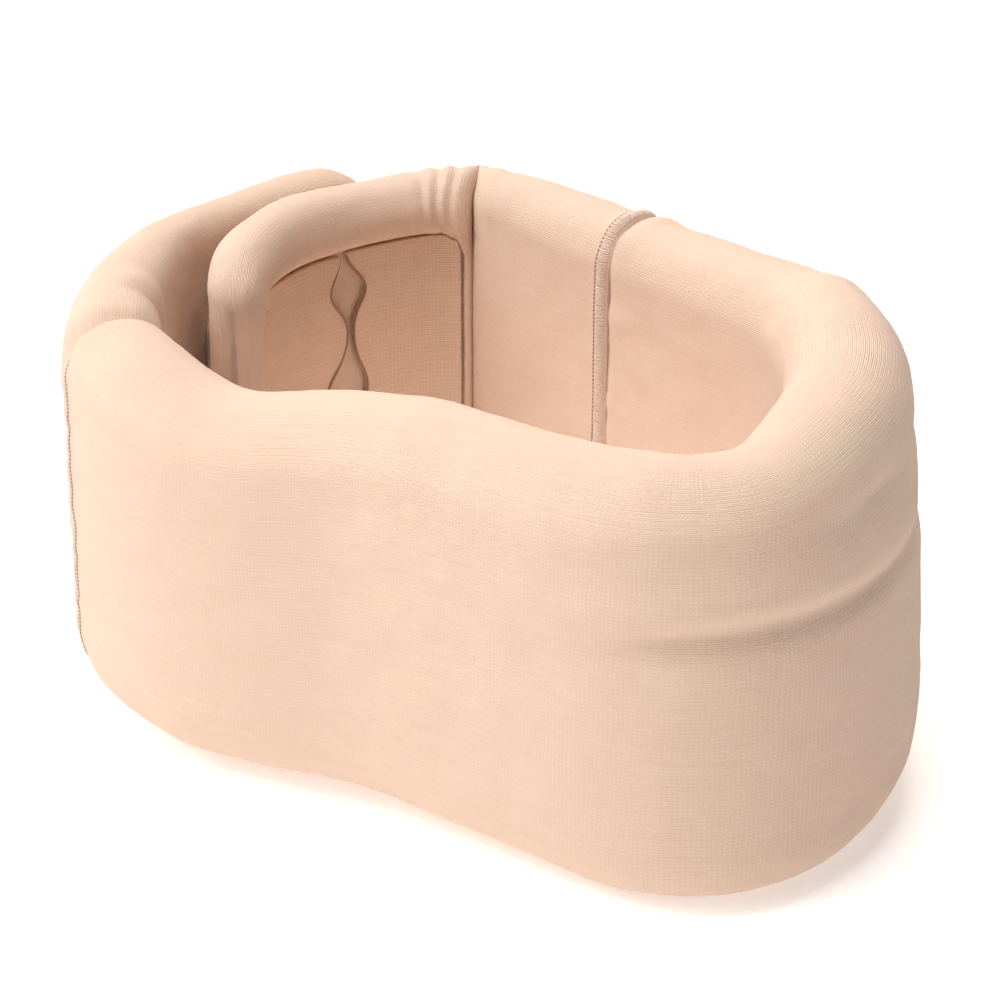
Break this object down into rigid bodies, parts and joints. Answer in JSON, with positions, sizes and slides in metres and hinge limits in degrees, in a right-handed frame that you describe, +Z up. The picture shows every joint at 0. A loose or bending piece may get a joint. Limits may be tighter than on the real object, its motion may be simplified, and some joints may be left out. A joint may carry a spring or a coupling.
{
  "type": "cervical collar",
  "caption": "Soft foam cervical collar in knitted covers: a thick contoured front part with overlocked seams and two flaps that overlap at the nape and close with hook and loop tape.",
  "frame": {"origin": "middle of the collar's plan box, at the level its lower edge stands on", "axes": "+Z up towards the jaw, -Y towards the chin, +Y towards the nape, +X towards the wall that carries the inner flap"},
  "size_m": [0.13, 0.1823, 0.0936],
  "materials": {
    "knit": "fine peach-beige cotton stockinette, matt",
    "foam": "cream open-cell polyurethane foam",
    "thread": "overlock thread in the cover's colour",
    "hook_tape": "beige woven tape with moulded hooks",
    "loop_tape": "beige brushed loop tape",
    "lining": "knitted lining, darker in the recess"
  },
  "bodies": {
    "front": {"front_knit_cover": "knit", "front_foam_core": "foam", "left_overlock_seam": "thread", "right_overlock_seam": "thread"},
    "outer_flap": {"outer_flap_cover": "knit", "outer_flap_foam": "foam", "hook_tape": "hook_tape", "hook_tape_stitching": "thread"},
    "inner_flap_side": {"inner_flap_side_cover": "knit", "inner_flap_side_foam": "foam"},
    "inner_flap_end": {"inner_flap_end_cover": "knit", "inner_flap_end_foam": "foam", "loop_tape": "loop_tape", "loop_tape_stitching": "thread", "recess_lining_side": "lining", "recess_lining_end": "lining"}
  },
  "joints": [
    {"name": "outer_flap_hinge", "type": "hinge", "parent": "front", "child": "outer_flap", "pos_m": [-0.05398, 0.07161, 0.042], "axis": [0, 0, 1], "range_deg": [0, 85], "stiffness_Nm_per_rad": 0.03},
    {"name": "inner_flap_hinge", "type": "hinge", "parent": "front", "child": "inner_flap_side", "pos_m": [0.0637, 0.00804, 0.042], "axis": [0, 0, -1], "range_deg": [0, 42.5]},
    {"name": "inner_flap_fold_hinge", "type": "hinge", "parent": "inner_flap_side", "child": "inner_flap_end", "pos_m": [0.06231, 0.05502, 0.042], "axis": [0, 0, -1], "range_deg": [0, 51]}
  ],
  "couplings": [
    {"joint": "inner_flap_hinge", "follows": "outer_flap_hinge", "ratio": 0.5},
    {"joint": "inner_flap_fold_hinge", "follows": "outer_flap_hinge", "ratio": 0.6}
  ]
}
